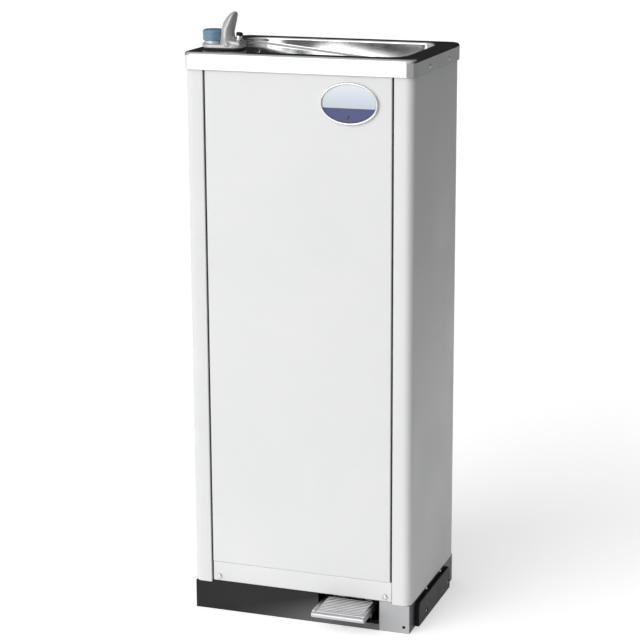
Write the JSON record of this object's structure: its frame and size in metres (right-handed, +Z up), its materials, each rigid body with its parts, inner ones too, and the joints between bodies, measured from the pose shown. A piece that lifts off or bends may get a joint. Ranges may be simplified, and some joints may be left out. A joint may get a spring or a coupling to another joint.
{
  "type": "drinking fountain",
  "caption": "Free-standing cabinet drinking fountain with a stainless basin top, a push-button bubbler with mouth guard and a foot pedal.",
  "frame": {"origin": "middle of the base pan's underside, on the floor", "axes": "+Z up, +X to the right of a person facing the fountain, front faces -Y"},
  "size_m": [0.328, 0.2778, 0.8428],
  "materials": {
    "black_paint": "satin black",
    "black_plastic": "fine grained",
    "galvanised": "satin zinc",
    "paint": "smooth off-white powder coat",
    "chrome": "bright plated",
    "stainless": "polished",
    "black_rubber": "matt",
    "die_cast": "matt grey cast",
    "brass": "machined",
    "blue_plastic": "satin grey-blue",
    "spring_steel": "drawn wire",
    "badge_enamel": "gloss navy and pale grey-blue",
    "lamp_lens": "clear tinted",
    "aluminium": "satin extruded",
    "white_plastic": "natural nylon",
    "copper": "drawn copper tube"
  },
  "bodies": {
    "cabinet": {"back_panel": "paint", "badge_bezel": "chrome", "badge_lamp": "lamp_lens", "badge_plate": "badge_enamel", "base_pan": "black_paint", "basin_top": "stainless", "bubbler_body": "die_cast", "bubbler_gasket": "black_rubber", "bubbler_shank": "brass", "button_spring": "spring_steel", "cold_tank": "stainless", "compressor": "black_paint", "compressor_mount_left_back": "black_rubber", "compressor_mount_left_front": "black_rubber", "compressor_mount_right_back": "black_rubber", "compressor_mount_right_front": "black_rubber", "condenser": "aluminium", "cooling_coil": "copper", "drain_pipe": "black_plastic", "drain_strainer": "stainless", "drain_tail": "black_plastic", "fan_motor": "black_paint", "fan_shroud": "galvanised", "filter_dryer": "copper", "foot_valve": "brass", "front_panel": "paint", "inlet_pipe": "copper", "kick_rail": "paint", "nozzle": "chrome", "pedal_bracket": "galvanised", "pedal_bush_left": "white_plastic", "pedal_bush_right": "white_plastic", "pedal_shaft": "chrome", "pedal_spring": "spring_steel", "plinth_front": "galvanised", "power_gland": "black_rubber", "rail_screw_left": "chrome", "rail_screw_right": "chrome", "shank_nut": "brass", "side_panel_left": "paint", "side_panel_right": "paint", "side_plate_left": "black_plastic", "side_plate_right": "black_plastic", "supply_pipe": "copper", "tank_pipe": "copper", "tank_shelf": "galvanised", "terminal_box": "black_plastic", "thermostat": "black_plastic", "water_inlet": "brass"},
    "button": {"push_button": "blue_plastic"},
    "pedal": {"pedal_tread": "aluminium", "pedal_lever": "galvanised"},
    "stem": {"valve_stem": "chrome"},
    "fan": {"fan_blade": "aluminium"},
    "dial": {"thermostat_dial": "black_plastic"}
  },
  "joints": [
    {"name": "button_press", "type": "slide", "parent": "cabinet", "child": "button", "axis": [0, 0, -1], "range_m": [0, 0.0035], "stiffness_N_per_m": 600, "springref_m": -0.003, "deforming": ["button_spring"]},
    {"name": "pedal_press", "type": "hinge", "parent": "cabinet", "child": "pedal", "pos_m": [0.069, -0.07, 0.024], "axis": [1, 0, 0], "range_deg": [0, 7], "stiffness_Nm_per_rad": 5, "springref_deg": -8.59, "deforming": ["pedal_spring"]},
    {"name": "stem_lift", "type": "slide", "parent": "cabinet", "child": "stem", "axis": [0, 0, 1], "range_m": [0, 0.0049]},
    {"name": "fan_spin", "type": "hinge", "parent": "cabinet", "child": "fan", "pos_m": [-0.071, 0.044, 0.1], "axis": [0, 1, 0], "continuous": true},
    {"name": "dial_turn", "type": "hinge", "parent": "cabinet", "child": "dial", "pos_m": [-0.095, 0.115, 0.56], "axis": [0, 1, 0], "range_deg": [-135, 135]}
  ],
  "couplings": [
    {"joint": "stem_lift", "follows": "pedal_press", "m_per_rad": 0.04}
  ]
}
